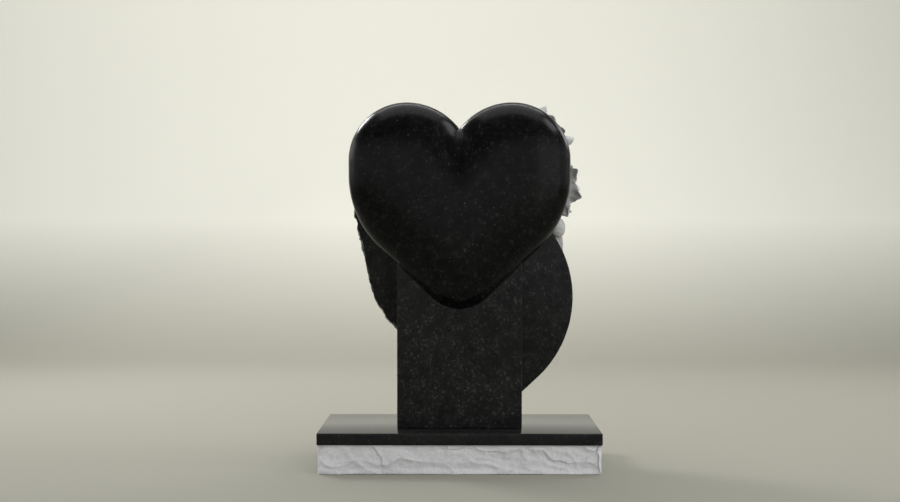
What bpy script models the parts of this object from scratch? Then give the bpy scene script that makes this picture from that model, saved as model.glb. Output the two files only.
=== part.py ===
"""Heart headstone: a puffed heart on a column, a leaning front tablet and a rose spray on a stepped base.

Metres, +Z up. The carved front faces -Y. The origin is the centre of the base's underside.
"""
import math
import random

import bmesh
import bpy
import numpy as np
from mathutils import Matrix, Vector, noise

# Clearance between pieces that touch.
BED_GAP = 0.0003

# Base course of grey granite.
BASE_WIDTH = 0.750
BASE_DEPTH = 0.350
BASE_HEIGHT = 0.076
ROCK_RELIEF = 0.007
ROCK_MARGIN = 0.002
ROCK_CELL = 0.045
ROCK_GAIN = 2.0
ROCK_STEP = 0.019

# Polished slab, its sides flush with the base course.
SLAB_WIDTH = BASE_WIDTH
SLAB_DEPTH = BASE_DEPTH
SLAB_THICKNESS = 0.031
SLAB_ARRIS = 0.0015

# Column, carved in one with the heart.
COLUMN_WIDTH = 0.335
COLUMN_THICKNESS = 0.107
COLUMN_INSET = 0.085
COLUMN_ARRIS = 0.003

# Heart outline, measured up from its tip.
HEART_TIP_RISE = 0.321
HEART_HALF_WIDTH = 0.299
TIP_RADIUS = 0.105
CHEEK_RADIUS = 0.270
CHEEK_RISE = 0.360
LOBE_RADIUS = 0.1565
LOBE_RISE = 0.399
INNER_LOBE_RADIUS = 0.178
HEART_CORE_RISE = 0.300
HEART_SWELL = 0.080
HEART_PROUD = 0.055
BACK_SHOULDER = 0.150
FRONT_SHOULDER = 0.070
COLUMN_TENON = 0.190

# Front tablet, a leaning heart on a blunt foot.
TABLET_THICKNESS = 0.060
TABLET_ARRIS = 0.004
TABLET_FOOT_CENTRE = -0.056
TABLET_FOOT_WIDTH = 0.052
BELLY_RADIUS = 0.304
BELLY_RISE = 0.3475
BELLY_OFFSET = -0.009
LOW_LOBE_RADIUS = 0.173
LOW_LOBE_ANGLE = 135.0
HIGH_LOBE_RADIUS = 0.125
HIGH_LOBE_RISE = 0.590
HIGH_LOBE_OFFSET = 0.170
FLANK_RADIUS = 0.220
FLANK_RISE = 0.429
FLANK_OFFSET = 0.036
PITCH_RELIEF = 0.006
PITCH_STEP = 0.012
PITCH_LAYERS = (0.36, 0.68)
PITCH_RANGE = (-1.0, 0.5)
PITCH_FADE_POINTS = 3

# Rose spray, on the heart's -X lobe and the tablet's shoulder below it.
# Its places and widths are given as shares of a full-grown leaf's length.
LEAF_LENGTH = 0.100
SPRAY_VOXEL = 0.0038
SPRAY_FACES = 4400
PETAL_THICKNESS = 0.0075
LEAF_END_WIDTH = 0.002
STEM_DEPTH = 0.012
STEM_RADIUS = 0.016
BRANCH_RADIUS = 0.018
TWIG_RADIUS = 0.010
KNUCKLE_SHARE = 1.05

# Facet sizes.
OUTLINE_STEP = 0.024
OUTLINE_MERGE = 0.002
DOME_RINGS = 8
PETAL_ROWS = (0.0, 0.25, 0.5, 0.75, 0.9, 1.0)
PETAL_COLUMNS = (-1.0, -0.66, -0.33, 0.0, 0.33, 0.66, 1.0)
LEAF_ROWS = (0.0, 0.12, 0.28, 0.46, 0.64, 0.82, 0.94, 1.0)
LEAF_COLUMNS = (-1.0, -0.5, 0.0, 0.5, 1.0)


def clear_scene():
    for obj in list(bpy.data.objects):
        bpy.data.objects.remove(obj, do_unlink=True)


def stone(name, colour, roughness):
    material = bpy.data.materials.new(name)
    material.use_nodes = True
    shader = material.node_tree.nodes["Principled BSDF"]
    shader.inputs["Base Color"].default_value = (*colour, 1.0)
    shader.inputs["Roughness"].default_value = roughness
    return material


def place(name, bm, material, sharp_angle=40.0):
    """Make one named object from a bmesh, with its faces turned outwards."""
    bmesh.ops.recalc_face_normals(bm, faces=bm.faces)
    mesh = bpy.data.meshes.new(name)
    bm.to_mesh(mesh)
    bm.free()
    mesh.shade_smooth()
    mesh.set_sharp_from_angle(angle=math.radians(sharp_angle))
    mesh.materials.append(material)
    obj = bpy.data.objects.new(name, mesh)
    bpy.context.scene.collection.objects.link(obj)
    return obj


def cutter(obj):
    obj.hide_render = True
    obj.display_type = "WIRE"
    return obj


def boolean(obj, other, operation):
    modifier = obj.modifiers.new(operation.title(), "BOOLEAN")
    modifier.operation = operation
    modifier.solver = "EXACT"
    modifier.object = other


def box_bmesh(low, high):
    bm = bmesh.new()
    bmesh.ops.create_cube(bm, size=1.0)
    size = Vector(high) - Vector(low)
    centre = (Vector(high) + Vector(low)) / 2
    bmesh.ops.transform(bm, matrix=Matrix.Translation(centre) @ Matrix.Diagonal((*size, 1.0)), verts=bm.verts)
    return bm


def bevel(obj, width, segments=2):
    modifier = obj.modifiers.new("Arris", "BEVEL")
    modifier.width = width
    modifier.segments = segments
    modifier.limit_method = "ANGLE"
    modifier.angle_limit = math.radians(50.0)


def arc(circle, start, end, step=OUTLINE_STEP):
    """Points along a circle (x, z, radius), from one angle to the other in radians, both ends included."""
    x, z, radius = circle
    count = max(1, round(abs(end - start) * radius / step))
    angles = [start + (end - start) * i / count for i in range(count + 1)]
    return [Vector((x + radius * math.cos(a), z + radius * math.sin(a))) for a in angles]


def tangent_angle(first, second):
    """Angle of the outward normal where a belt running anticlockwise leaves one circle for the next."""
    across = Vector((second[0] - first[0], second[1] - first[1]))
    ratio = max(-1.0, min(1.0, (first[2] - second[2]) / across.length))
    return math.atan2(across.y, across.x) - math.acos(ratio)


def onwards(angle, start):
    """The same angle, counted on from a quarter turn before another."""
    least = start - math.pi / 2
    return least + (angle - least) % math.tau


def belt(circles, start, end):
    """A smooth outline round a chain of circles, anticlockwise, with tangent straights between them."""
    points = []
    angle = start
    for circle, following in zip(circles, circles[1:] + [None]):
        leave = tangent_angle(circle, following) if following else end
        leave = onwards(leave, angle)
        points += arc(circle, angle, leave)
        angle = leave
    return thinned(points)


def thinned(points, nearest=OUTLINE_MERGE):
    kept = [points[0]]
    for point in points[1:]:
        if (point - kept[-1]).length > nearest:
            kept.append(point)
    return kept


def resampled(points, step):
    """The same line, its long stretches cut into steps."""
    kept = []
    for a, b in zip(points, points[1:]):
        count = max(1, round((b - a).length / step))
        kept += [a.lerp(b, i / count) for i in range(count)]
    return kept + [points[-1]]


def crossing(first, second):
    """The upper of the two points where two circles cross."""
    a, b = Vector(first[:2]), Vector(second[:2])
    across = b - a
    along = (across.length_squared + first[2] ** 2 - second[2] ** 2) / (2 * across.length)
    rise = math.sqrt(max(0.0, first[2] ** 2 - along**2))
    unit = across.normalized()
    side = Vector((-unit.y, unit.x))
    if side.y < 0:
        side = -side
    return a + unit * along + side * rise


def angle_on(circle, point):
    return math.atan2(point.y - circle[1], point.x - circle[0])


def smooth_distance(points, outline):
    """A rounded measure of how far each point is inside a closed outline: exact beside a straight edge."""
    a = np.array(outline, float)
    b = np.roll(a, -1, axis=0)
    along = b - a
    length = np.linalg.norm(along, axis=1)
    along /= length[:, None]
    offset = points[:, None, :] - a[None]
    start = -(offset * along[None]).sum(axis=2)
    end = start + length[None]
    square = np.maximum((offset**2).sum(axis=2) - start**2, 1e-10)
    seen = end / np.sqrt(end**2 + square) - start / np.sqrt(start**2 + square)
    total = (seen / square).sum(axis=1)
    return (np.maximum(total, 1e-9) / 2) ** -0.5


# Levels and depths that follow from the sizes above.
slab_bottom = BASE_HEIGHT + BED_GAP
slab_top = slab_bottom + SLAB_THICKNESS
stone_foot = slab_top + BED_GAP
column_back = SLAB_DEPTH / 2 - COLUMN_INSET
column_front = column_back - COLUMN_THICKNESS
heart_tip = slab_top + HEART_TIP_RISE
heart_plane = column_back + HEART_PROUD - HEART_SWELL
tablet_back = min(column_front, heart_plane - HEART_SWELL) - BED_GAP
tablet_front = tablet_back - TABLET_THICKNESS
stem_depth = STEM_DEPTH / LEAF_LENGTH


def make_base_course(material):
    """Sawn top and underside, rock-faced sides whose arrises stay straight."""
    signs = ((-1, -1), (1, -1), (1, 1), (-1, 1))
    corners = [Vector((x * BASE_WIDTH / 2, y * BASE_DEPTH / 2)) for x, y in signs]
    plan = []
    for i, corner in enumerate(corners):
        along = corners[(i + 1) % 4] - corner
        inward = Vector((-along.y, along.x)).normalized()
        before = Vector((inward.y, -inward.x))
        count = max(3, round(along.length / ROCK_STEP))
        plan.append((corner, inward + before))
        plan += [(corner + along * k / count, inward) for k in range(1, count)]
    rows = max(4, round(BASE_HEIGHT / ROCK_STEP))
    bm = bmesh.new()
    rings = []
    for row in range(rows + 1):
        level = BASE_HEIGHT * row / rows
        ring = []
        for point, inward in plan:
            depth = ROCK_MARGIN
            if 0 < row < rows:
                dent = ROCK_GAIN * noise.noise(Vector((*point, level)) / ROCK_CELL)
                depth = ROCK_RELIEF * min(1.0, max(0.0, dent))
            spot = point + inward * depth
            ring.append(bm.verts.new((*spot, level)))
        rings.append(ring)
    join_rings(bm, rings)
    bm.faces.new(rings[0])
    bm.faces.new(rings[-1])
    return place("base_course", bm, material, sharp_angle=30.0)


def join_rings(bm, rings):
    """Quads between closed rings of the same number of vertices."""
    count = len(rings[0])
    for lower, upper in zip(rings, rings[1:]):
        for i in range(count):
            j = (i + 1) % count
            bm.faces.new((lower[i], lower[j], upper[j], upper[i]))


def make_base_slab(material):
    low = (-SLAB_WIDTH / 2, -SLAB_DEPTH / 2, slab_bottom)
    high = (SLAB_WIDTH / 2, SLAB_DEPTH / 2, slab_top)
    slab = place("base_slab", box_bmesh(low, high), material)
    bevel(slab, SLAB_ARRIS)
    return slab


def heart_outline():
    """Closed outline of the heart in its own plane, its tip at (0, 0), anticlockwise."""
    lobe_centre = HEART_HALF_WIDTH - LOBE_RADIUS
    lobe_top = LOBE_RISE + LOBE_RADIUS
    circles = [
        (0.0, TIP_RADIUS, TIP_RADIUS),
        (HEART_HALF_WIDTH - CHEEK_RADIUS, CHEEK_RISE, CHEEK_RADIUS),
        (lobe_centre, LOBE_RISE, LOBE_RADIUS),
        (lobe_centre, lobe_top - INNER_LOBE_RADIUS, INNER_LOBE_RADIUS),
    ]
    cleft = math.pi - math.acos(lobe_centre / INNER_LOBE_RADIUS)
    right = resampled(belt(circles, -math.pi / 2, cleft), OUTLINE_STEP)
    left = [Vector((-p.x, p.y)) for p in reversed(right[1:-1])]
    return right + left


def heart_bmesh(grow=0.0):
    """The puffed heart: a dome on each side of its mid-plane. grow swells it evenly, for a clearance."""
    outline = heart_outline()
    core = Vector((0.0, HEART_CORE_RISE))
    spots = []
    for ring in range(1, DOME_RINGS):
        share = math.cos(math.pi / 2 * ring / DOME_RINGS)
        spots += [core.lerp(p, share) for p in outline]
    spots.append(core)
    inside = smooth_distance(np.array(spots), outline)
    bm = bmesh.new()
    rim = [bm.verts.new((p.x, heart_plane, heart_tip + p.y)) for p in outline]
    count = len(outline)
    for side, shoulder in ((-1, FRONT_SHOULDER), (1, BACK_SHOULDER)):
        edge = 1 - np.minimum(inside / shoulder, 1.0)
        swell = HEART_SWELL * np.sqrt(1 - edge**2)
        dome = [bm.verts.new((p.x, heart_plane + side * h, heart_tip + p.y)) for p, h in zip(spots, swell)]
        apex = dome.pop()
        rings = [rim] + [dome[i : i + count] for i in range(0, len(dome), count)]
        join_rings(bm, rings)
        for i in range(count):
            bm.faces.new((rings[-1][i], rings[-1][(i + 1) % count], apex))
    bmesh.ops.recalc_face_normals(bm, faces=bm.faces)
    swelled(bm, grow)
    return bm


def swelled(bm, grow):
    """Move every vertex outwards along its normal."""
    bm.normal_update()
    moves = [(v, v.normal * grow) for v in bm.verts]
    for vert, move in moves:
        vert.co += move


def make_heart_stone(material):
    heart = place("heart_stone", heart_bmesh(), material)
    low = (-COLUMN_WIDTH / 2, column_front, stone_foot)
    high = (COLUMN_WIDTH / 2, column_back, heart_tip + COLUMN_TENON)
    column = cutter(place("column_block", box_bmesh(low, high), material))
    bevel(column, COLUMN_ARRIS)
    boolean(heart, column, "UNION")
    return heart


def tablet_outline():
    """Closed outline of the tablet, anticlockwise seen from the back, and how rough each point's edge is."""
    foot_left = (TABLET_FOOT_CENTRE - TABLET_FOOT_WIDTH / 2, 0.0, 0.0)
    foot_right = (TABLET_FOOT_CENTRE + TABLET_FOOT_WIDTH / 2, 0.0, 0.0)
    flank = (FLANK_OFFSET, FLANK_RISE, FLANK_RADIUS)
    high_lobe = (HIGH_LOBE_OFFSET, HIGH_LOBE_RISE, HIGH_LOBE_RADIUS)
    belly = (BELLY_OFFSET, BELLY_RISE, BELLY_RADIUS)
    lobe_angle = math.radians(LOW_LOBE_ANGLE)
    reach = BELLY_RADIUS - LOW_LOBE_RADIUS
    low_lobe = (
        BELLY_OFFSET + reach * math.cos(lobe_angle),
        BELLY_RISE + reach * math.sin(lobe_angle),
        LOW_LOBE_RADIUS,
    )
    cleft = crossing(high_lobe, low_lobe)
    pitched = belt([foot_right, flank, high_lobe], -math.pi / 2, angle_on(high_lobe, cleft))
    pitched = resampled(pitched, PITCH_STEP)
    smooth = belt([low_lobe, belly, foot_left], angle_on(low_lobe, cleft), 1.5 * math.pi)
    smooth = resampled(smooth, OUTLINE_STEP)
    top = max(range(len(pitched)), key=lambda i: pitched[i].y)
    outline = pitched + smooth[1:]
    rough = [0.0] * len(outline)
    for i in range(1, top):
        rough[i] = min(1.0, (pitched[top].y - pitched[i].y) / HIGH_LOBE_RADIUS, i / PITCH_FADE_POINTS)
    return outline, rough


def tablet_bmesh(grow=0.0):
    """The tablet's slab of stone, with small arrises, and its pitched side broken in and out."""
    outline, rough = tablet_outline()
    count = len(outline)
    normals = []
    for i, point in enumerate(outline):
        along = outline[(i + 1) % count] - outline[i - 1]
        normals.append(Vector((along.y, -along.x)).normalized())
    rng = random.Random(7)
    layers = [(tablet_back, TABLET_ARRIS), (tablet_back - TABLET_ARRIS, 0.0)]
    layers += [(tablet_back - TABLET_THICKNESS * share, 0.0) for share in PITCH_LAYERS]
    layers += [(tablet_front + TABLET_ARRIS, 0.0), (tablet_front, TABLET_ARRIS)]
    bm = bmesh.new()
    rings = []
    for depth, inset in layers:
        ring = []
        for point, normal, roughness in zip(outline, normals, rough):
            swing = PITCH_RELIEF * roughness * rng.uniform(*PITCH_RANGE)
            spot = point + normal * (swing - inset)
            ring.append(bm.verts.new((spot.x, depth, stone_foot + max(spot.y, 0.0))))
        rings.append(ring)
    join_rings(bm, rings)
    bm.faces.new(rings[0])
    bm.faces.new(rings[-1])
    bmesh.ops.recalc_face_normals(bm, faces=bm.faces)
    swelled(bm, grow)
    return bm


def make_front_tablet(material):
    return place("front_tablet", tablet_bmesh(), material, sharp_angle=35.0)


def sheet(bm, rows, thickness):
    """A closed shell of even thickness round a grid of points."""
    across = len(rows[0])
    normals = []
    for r, row in enumerate(rows):
        for c in range(across):
            du = row[min(c + 1, across - 1)] - row[max(c - 1, 0)]
            dv = rows[min(r + 1, len(rows) - 1)][c] - rows[max(r - 1, 0)][c]
            normals.append(du.cross(dv).normalized())
    sides = []
    for sign in (-0.5, 0.5):
        flat = [p for row in rows for p in row]
        sides.append([bm.verts.new(p + n * thickness * sign) for p, n in zip(flat, normals)])
    lower, upper = sides
    for r in range(len(rows) - 1):
        for c in range(across - 1):
            i = r * across + c
            bm.faces.new((lower[i], lower[i + across], lower[i + across + 1], lower[i + 1]))
            bm.faces.new((upper[i], upper[i + 1], upper[i + across + 1], upper[i + across]))
    last = (len(rows) - 1) * across
    rim = [i for i in range(across)]
    rim += [r * across + across - 1 for r in range(1, len(rows))]
    rim += [last + c for c in range(across - 2, -1, -1)]
    rim += [r * across for r in range(len(rows) - 2, 0, -1)]
    for a, b in zip(rim, rim[1:] + rim[:1]):
        bm.faces.new((lower[a], lower[b], upper[b], upper[a]))


def petal(bm, frame, radius, turn, spread, reach, lift, curl):
    """One petal of a rose: a cupped fan from the core to a rounded rim that rolls back by curl."""
    core, roll_start, rounding = 0.12, 0.62, 0.22
    roll_out, roll_down = 0.10 * curl, 0.22 * curl
    rows = []
    for v in PETAL_ROWS:
        row = []
        for u in PETAL_COLUMNS:
            run = v * (1 - rounding * u * u)
            roll = max(0.0, run - roll_start) / (1 - roll_start)
            out = radius * (core + (reach - core) * run**0.85 + roll_out * roll**2)
            high = radius * (lift * run**1.4 - roll_down * roll**2)
            angle = turn + spread * u * (0.55 + 0.45 * math.sin(math.pi * min(run, 0.8)))
            row.append(frame @ Vector((out * math.cos(angle), out * math.sin(angle), high)))
        rows.append(row)
    sheet(bm, rows, PETAL_THICKNESS)


def rose(bm, frame, radius, seed):
    """A full-blown rose in rings of petals round a tight core, opening along the frame's z."""
    rng = random.Random(seed)
    # Each ring: petals, half width of one in radians, reach, lift and curl.
    rings = [
        (5, 0.78, 1.00, 0.16, 1.00),
        (5, 0.80, 0.80, 0.36, 0.80),
        (4, 0.90, 0.58, 0.54, 0.50),
        (3, 1.10, 0.38, 0.66, 0.20),
    ]
    start = rng.uniform(0, math.tau)
    for index, (count, spread, reach, lift, curl) in enumerate(rings):
        for k in range(count):
            turn = start + math.tau * (k + 0.5 * (index % 2)) / count + rng.uniform(-0.08, 0.08)
            size = reach * rng.uniform(0.95, 1.03)
            petal(bm, frame, radius, turn, spread, size, lift, curl)
    core = frame @ Matrix.Translation((0, 0, radius * 0.20)) @ Matrix.Diagonal((0.30, 0.30, 0.44, 1.0))
    bmesh.ops.create_icosphere(bm, subdivisions=2, radius=radius, matrix=core)
    cup = frame @ Matrix.Translation((0, 0, -radius * 0.12)) @ Matrix.Diagonal((0.55, 0.55, 0.30, 1.0))
    bmesh.ops.create_icosphere(bm, subdivisions=2, radius=radius, matrix=cup)


def leaf(bm, root, tip, width, face, bow):
    """A pointed leaf from root to tip, folded along its midrib, with a bow away from its face."""
    along = tip - root
    across = along.cross(face).normalized()
    up = across.cross(along).normalized()
    if up.dot(face) < 0:
        up = -up
    rows = []
    for v in LEAF_ROWS:
        half = (width * math.sin(math.pi * (0.08 + 0.90 * v) ** 0.85) + LEAF_END_WIDTH) / 2
        centre = root + along * v + up * bow * math.sin(math.pi * v)
        rows.append([centre + across * half * u + up * 0.28 * half * abs(u) for u in LEAF_COLUMNS])
    sheet(bm, rows, PETAL_THICKNESS)


def bud(bm, root, tip, width):
    """An egg-shaped bud from root to tip, with a short pointed end."""
    along = tip - root
    turn = along.to_track_quat("Z", "Y").to_matrix().to_4x4()
    size = Matrix.Diagonal((width / 2, width / 2, along.length / 2, 1.0))
    ball = Matrix.Translation((root + tip) / 2) @ turn @ size
    bmesh.ops.create_icosphere(bm, subdivisions=2, radius=1.0, matrix=ball)


def stem(bm, points, radius):
    """A round stem through a few points, as overlapping balls and rods."""
    for a, b in zip(points, points[1:]):
        along = b - a
        turn = along.to_track_quat("Z", "Y").to_matrix().to_4x4()
        rod = Matrix.Translation((a + b) / 2) @ turn
        bmesh.ops.create_cone(
            bm, cap_ends=True, segments=10, radius1=radius, radius2=radius, depth=along.length, matrix=rod
        )
    for point in points:
        knuckle = Matrix.Translation(point)
        bmesh.ops.create_icosphere(bm, subdivisions=2, radius=radius * KNUCKLE_SHARE, matrix=knuckle)


def on_heart(inset, up, forward):
    """A place on the heart's -X lobe: in from its edge, up from its centre, forward of the tablet's back."""
    origin = Vector((-HEART_HALF_WIDTH, tablet_back, heart_tip + LOBE_RISE))
    return origin + Vector((inset, -forward, up)) * LEAF_LENGTH


def on_tablet(inset, up, forward):
    """The same place, but forward of the tablet's face."""
    return on_heart(inset, up, forward) - Vector((0.0, TABLET_THICKNESS, 0.0))


def rose_frame(centre, lean_out, lean_up):
    """A rose's own axes: it faces forward, leaned outwards and upwards by angles in degrees."""
    facing = Vector((-math.sin(math.radians(lean_out)), -1.0, math.sin(math.radians(lean_up)))).normalized()
    return Matrix.Translation(centre) @ facing.to_track_quat("Z", "Y").to_matrix().to_4x4()


def spray_bmesh():
    bm = bmesh.new()
    rose(bm, rose_frame(on_heart(0.51, -0.75, 0.14), 24, 4), 0.85 * LEAF_LENGTH, seed=3)
    rose(bm, rose_frame(on_heart(0.71, 0.85, 0.16), 18, 22), 0.66 * LEAF_LENGTH, seed=11)
    rose(bm, rose_frame(on_tablet(1.51, -1.49, 0.20), 2, -8), 0.58 * LEAF_LENGTH, seed=5)
    # Each leaf: root, tip, width and bow.
    leaves = [
        (on_heart(0.69, -1.09, 0.20), on_heart(-0.14, -1.37, 0.26), 0.50, 0.04),
        (on_heart(0.84, 1.21, 0.12), on_heart(0.58, 1.57, 0.20), 0.36, 0.03),
        (on_heart(0.99, 1.01, 0.10), on_heart(1.73, 1.47, 0.12), 0.52, 0.08),
        (on_heart(0.99, 0.41, 0.12), on_heart(1.89, 0.53, 0.14), 0.54, 0.10),
        (on_heart(1.09, 0.01, 0.14), on_heart(2.03, -0.27, 0.12), 0.56, 0.10),
        (on_heart(0.54, -1.64, 0.40), on_heart(0.11, -2.59, 0.30), 0.40, 0.06),
        (on_heart(0.29, 0.56, 0.16), on_heart(-0.19, 0.69, 0.14), 0.26, 0.02),
        (on_tablet(1.39, -1.84, 0.14), on_tablet(0.94, -2.79, 0.12), 0.54, 0.08),
        (on_tablet(1.69, -1.74, 0.14), on_tablet(2.49, -2.39, 0.10), 0.52, 0.08),
        (on_tablet(1.79, -1.34, 0.14), on_tablet(2.59, -0.99, 0.06), 0.50, 0.08),
    ]
    face = Vector((-0.25, -1.0, 0.1)).normalized()
    for root, tip, width, bow in leaves:
        leaf(bm, root, tip, width * LEAF_LENGTH, face, bow * LEAF_LENGTH)
    bud(bm, on_heart(0.37, -1.53, 0.22), on_heart(0.19, -2.07, 0.24), 0.48 * LEAF_LENGTH)
    bud(bm, on_heart(1.21, 1.01, 0.20), on_heart(1.39, 1.47, 0.22), 0.34 * LEAF_LENGTH)
    bud(bm, on_heart(0.11, 0.53, 0.18), on_heart(-0.17, 0.67, 0.18), 0.24 * LEAF_LENGTH)
    trunk = [(0.31, -1.74), (0.54, -1.09), (0.63, -0.29), (0.75, 0.51), (1.09, 1.21)]
    stem(bm, [on_heart(inset, up, stem_depth) for inset, up in trunk], STEM_RADIUS)
    fork = on_heart(0.64, -0.99, stem_depth)
    elbow = on_tablet(1.09, -1.09, -stem_depth)
    stem(bm, [fork, elbow, on_tablet(1.49, -1.49, 0.18)], BRANCH_RADIUS)
    stem(bm, [on_heart(0.71, 0.51, stem_depth), on_heart(0.13, 0.53, stem_depth)], TWIG_RADIUS)
    return bm


def largest_skin(mesh):
    """Keep only the outer skin of the biggest body in a mesh."""
    bm = bmesh.new()
    bm.from_mesh(mesh)
    left = set(bm.verts)
    bodies = []
    while left:
        seed = left.pop()
        body = {seed}
        edge = [seed]
        while edge:
            vert = edge.pop()
            for link in vert.link_edges:
                other = link.other_vert(vert)
                if other in left:
                    left.discard(other)
                    body.add(other)
                    edge.append(other)
        bodies.append(body)
    bodies.sort(key=len)
    for body in bodies[:-1]:
        bmesh.ops.delete(bm, geom=list(body), context="VERTS")
    return bm


def settled(obj):
    """The object's mesh with its modifiers applied."""
    graph = bpy.context.evaluated_depsgraph_get()
    graph.update()
    return bpy.data.meshes.new_from_object(obj.evaluated_get(graph))


def make_rose_spray(material):
    """Petals, leaves and stems fused into one carved body, then seated on the heart and the tablet."""
    draft = place("spray_draft", spray_bmesh(), material)
    remesh = draft.modifiers.new("Fuse", "REMESH")
    remesh.mode = "VOXEL"
    remesh.voxel_size = SPRAY_VOXEL
    fused = place("spray_fused", largest_skin(settled(draft)), material)
    bpy.data.objects.remove(draft)
    thin = fused.modifiers.new("Thin", "DECIMATE")
    thin.ratio = SPRAY_FACES / (2 * len(fused.data.polygons))
    seats = [
        cutter(place("heart_seat", heart_bmesh(grow=2 * BED_GAP), material)),
        cutter(place("tablet_seat", tablet_bmesh(grow=2 * BED_GAP), material)),
    ]
    for seat in seats:
        boolean(fused, seat, "DIFFERENCE")
    spray = place("rose_spray", largest_skin(settled(fused)), material, sharp_angle=35.0)
    for helper in [fused, *seats]:
        bpy.data.objects.remove(helper)
    return spray


clear_scene()
black = stone("polished black granite", (0.012, 0.012, 0.014), 0.12)
grey = stone("rock-faced grey granite", (0.42, 0.42, 0.43), 0.85)
sanded = stone("sanded grey granite", (0.30, 0.30, 0.30), 0.75)
make_base_course(grey)
make_base_slab(black)
make_heart_stone(black)
make_front_tablet(black)
make_rose_spray(sanded)
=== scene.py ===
"""Heart headstone, dressed: polished black heart and tablet, sanded rose spray, slab and rock-faced base."""

import math

import bmesh
import bpy
import numpy as np
from mathutils import Matrix, Vector, noise


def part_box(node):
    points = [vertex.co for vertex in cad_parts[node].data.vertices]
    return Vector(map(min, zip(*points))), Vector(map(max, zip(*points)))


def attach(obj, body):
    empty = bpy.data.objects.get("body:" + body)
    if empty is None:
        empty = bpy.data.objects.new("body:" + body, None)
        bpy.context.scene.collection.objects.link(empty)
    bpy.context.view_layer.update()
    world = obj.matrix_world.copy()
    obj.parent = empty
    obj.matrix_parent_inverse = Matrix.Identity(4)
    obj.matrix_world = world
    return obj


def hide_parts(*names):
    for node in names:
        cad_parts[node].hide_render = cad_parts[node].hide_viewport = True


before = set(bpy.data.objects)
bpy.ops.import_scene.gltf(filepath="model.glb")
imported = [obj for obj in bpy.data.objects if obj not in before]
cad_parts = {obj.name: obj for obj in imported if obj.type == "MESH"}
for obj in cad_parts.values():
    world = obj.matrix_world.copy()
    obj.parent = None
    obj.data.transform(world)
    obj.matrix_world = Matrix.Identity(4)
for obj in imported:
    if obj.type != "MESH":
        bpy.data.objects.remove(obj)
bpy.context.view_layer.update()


# Base course: one block of light grey granite, sawn flat on top and underneath.
# Its sides are pitched by hand, which leaves shell-shaped scoops between arrises that stay straight.
# The stone is a fine grain of pale feldspar with small dark mica flecks.
base_low, base_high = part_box("base_course")
FACE_STEP = 0.0026
SCOOP_LONG, SCOOP_TALL = 0.074, 0.034
SCOOP_DEPTH, SCOOP_SLANT = 0.0160, 0.55
SCOOP_SHARE, DEEPEST = 0.80, 1.2
SMALL_ALONG, SMALL_UP, SMALL_SHARE = 2.3, 2.1, 0.20
BEND_CELL, BEND_ALONG, BEND_UP = 0.045, 0.55, 0.45
GRIT_CELL, GRIT_SHARE = 0.012, 0.10
SHAKEN_CELLS, SHALLOWEST, BOWL_FALL = 64, 0.35, 0.8
ARRIS_MARGIN, CORNER_MARGIN = 0.0012, 0.002
ARRIS_FADE, FOOT_FADE, FOOT_ROUGHNESS = 0.005, 0.016, 0.55


def add(material, kind, inputs=None, **settings):
    """One shader node, its inputs set to numbers or wired from other nodes' sockets."""
    node = material.node_tree.nodes.new(kind)
    for name, value in settings.items():
        setattr(node, name, value)
    for name, value in (inputs or {}).items():
        if isinstance(value, bpy.types.NodeSocket):
            material.node_tree.links.new(value, node.inputs[name])
        else:
            node.inputs[name].default_value = value
    return node


def colours(material, factor, stops):
    """A colour ramp of (place, linear grey or colour) stops."""
    ramp = add(material, "ShaderNodeValToRGB", {"Fac": factor})
    while len(ramp.color_ramp.elements) < len(stops):
        ramp.color_ramp.elements.new(0.5)
    for element, (place, colour) in zip(ramp.color_ramp.elements, stops):
        element.position = place
        element.color = (*colour, 1.0)
    return ramp.outputs["Color"]


def graded(material, value, low, high, to_low, to_high):
    """A value carried from one range to another, clamped."""
    node = add(material, "ShaderNodeMapRange", {
        "Value": value, "From Min": low, "From Max": high, "To Min": to_low, "To Max": to_high})
    return node.outputs["Result"]


def mixed(material, factor, first, second, blend="MIX"):
    """A second colour laid over the first by a factor."""
    node = add(material, "ShaderNodeMixRGB", {
        "Fac": factor, "Color1": first, "Color2": second}, blend_type=blend)
    return node.outputs["Color"]


def new_stone(name):
    """A blank stone finish: the material, its shader and the object's own coordinates."""
    material = bpy.data.materials.new(name)
    material.use_nodes = True
    shader = material.node_tree.nodes["Principled BSDF"]
    place = add(material, "ShaderNodeTexCoord").outputs["Object"]
    return material, shader, place


def wire(material, socket, shader, name):
    """A node's socket led into one of the shader's named inputs."""
    material.node_tree.links.new(socket, shader.inputs[name])


def pale_granite(name, pale, mid, dark, grain, rough, bump):
    """A matt granite: crystals of three tones, soft clouds of tone, and a gritty face."""
    material, shader, place = new_stone(name)
    crystal = add(material, "ShaderNodeTexVoronoi", {"Vector": place, "Scale": 1 / grain})
    tone = add(material, "ShaderNodeSeparateColor", {"Color": crystal.outputs["Color"]}).outputs["Red"]
    crystals = colours(material, tone, [(0.0, dark), (0.16, mid), (0.60, mid), (1.0, pale)])
    cloud = add(material, "ShaderNodeTexNoise", {
        "Vector": place, "Scale": 22.0, "Detail": 4.0, "Roughness": 0.6})
    clouds = colours(material, cloud.outputs[0], [(0.30, (0.94,) * 3), (0.70, (1.04,) * 3)])
    wire(material, mixed(material, 1.0, crystals, clouds, "MULTIPLY"), shader, "Base Color")
    grit = add(material, "ShaderNodeTexNoise", {
        "Vector": place, "Scale": 420.0, "Detail": 3.0, "Roughness": 0.7})
    wire(material, graded(material, grit.outputs[0], 0.3, 0.7, rough - 0.06, rough + 0.06), shader, "Roughness")
    face = add(material, "ShaderNodeBump", {"Height": grit.outputs[0], "Strength": bump, "Distance": 0.0010})
    wire(material, face.outputs["Normal"], shader, "Normal")
    shader.inputs["Specular IOR Level"].default_value = 0.35
    return material


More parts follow.
